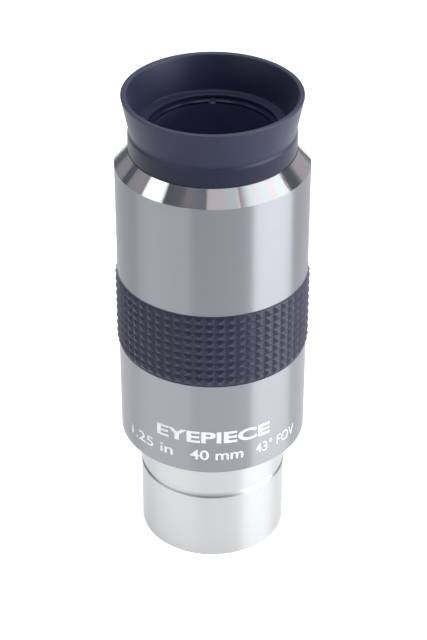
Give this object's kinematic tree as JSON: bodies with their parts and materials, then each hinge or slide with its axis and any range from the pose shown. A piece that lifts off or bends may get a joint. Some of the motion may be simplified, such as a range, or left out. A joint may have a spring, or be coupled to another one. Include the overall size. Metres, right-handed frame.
{
  "type": "telescope eyepiece",
  "caption": "Long-focus symmetrical telescope eyepiece: chrome push-fit barrel, turned metal housing, knurled rubber grip and a soft fold-down rubber eyecup.",
  "frame": {"origin": "centre of the barrel's open end, on the optical axis; the eyepiece stands on it", "axes": "+Z along the optical axis, from the telescope towards the eye; -Y is the side that carries the lettering; +X is to the right of it"},
  "size_m": [0.041, 0.041, 0.1069],
  "materials": {
    "chrome_plate": "bright chrome plate on turned brass",
    "turned_aluminium": "fine-turned, clear satin, with one bright-cut bevel",
    "black_anodised": "matte black anodised",
    "grip_rubber": "moulded black rubber, pyramid texture",
    "eyecup_rubber": "soft moulded black rubber, smooth matte",
    "crown_glass": "polished, coated optical crown",
    "flint_glass": "polished, coated optical flint",
    "printing_ink": "silver-white pad-printed ink"
  },
  "bodies": {
    "housing": {"lower_housing": "turned_aluminium", "upper_housing": "turned_aluminium", "grip_ring": "grip_rubber", "baffle_tube": "black_anodised", "lens_cell": "black_anodised", "field_lens_flint": "flint_glass", "field_lens_crown": "crown_glass", "lens_spacer": "black_anodised", "eye_lens_crown": "crown_glass", "eye_lens_flint": "flint_glass", "cell_retaining_ring": "black_anodised", "eye_tube": "black_anodised"},
    "field_stop": {"field_stop_ring": "black_anodised"},
    "barrel": {"barrel": "chrome_plate"},
    "eyecup": {"eyecup_collar": "eyecup_rubber"},
    "eyecup_lip": {"eyecup_lip": "eyecup_rubber"}
  },
  "joints": [
    {"name": "barrel_travel", "type": "slide", "parent": "housing", "child": "field_stop", "axis": [0, 0, -1], "range_m": [0, 0.0045]},
    {"name": "barrel_turn", "type": "hinge", "parent": "field_stop", "child": "barrel", "pos_m": [0, 0, 0.0265], "axis": [0, 0, -1], "range_deg": [0, 2160]},
    {"name": "eyecup_pull", "type": "slide", "parent": "housing", "child": "eyecup", "axis": [0, 0, 1], "range_m": [0, 0.0045]},
    {"name": "eyecup_fold", "type": "slide", "parent": "eyecup", "child": "eyecup_lip", "axis": [0, 0, -1], "range_m": [0, 0.0117], "deforming": ["eyecup_lip"]}
  ],
  "couplings": [
    {"joint": "barrel_travel", "follows": "barrel_turn", "m_per_rad": 0.00011936}
  ]
}
